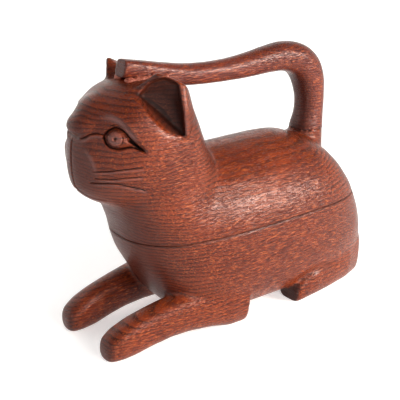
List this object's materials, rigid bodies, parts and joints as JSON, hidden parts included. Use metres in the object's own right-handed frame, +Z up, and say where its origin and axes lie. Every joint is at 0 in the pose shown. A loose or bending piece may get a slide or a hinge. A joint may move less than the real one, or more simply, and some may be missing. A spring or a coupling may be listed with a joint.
{
  "type": "carved wooden cat box",
  "caption": "Hand-carved hardwood box in the form of a crouching cat; its back and head lift off as the lid, held by the tail, which arches forward as the handle.",
  "frame": {"origin": "middle of the footprint's bounding box, on the surface the box stands on", "axes": "+Z up; -Y is the way the cat faces; +X is the cat's left side"},
  "size_m": [0.0826, 0.2036, 0.1623],
  "materials": {
    "oiled_hardwood": "oiled and waxed reddish hardwood, hand carved and sanded, open pores",
    "dowel_wood": "plain turned dowel, unfinished"
  },
  "bodies": {
    "base_half": {"base": "oiled_hardwood", "peg_front": "dowel_wood", "peg_rear": "dowel_wood"},
    "lid_half": {"lid": "oiled_hardwood", "tail_handle": "oiled_hardwood", "tail_rear_dowel": "dowel_wood", "tail_front_dowel": "dowel_wood"}
  },
  "joints": [
    {"name": "lid_lift", "type": "slide", "parent": "base_half", "child": "lid_half", "axis": [0, 0, 1], "range_m": [0, 0.08]}
  ]
}
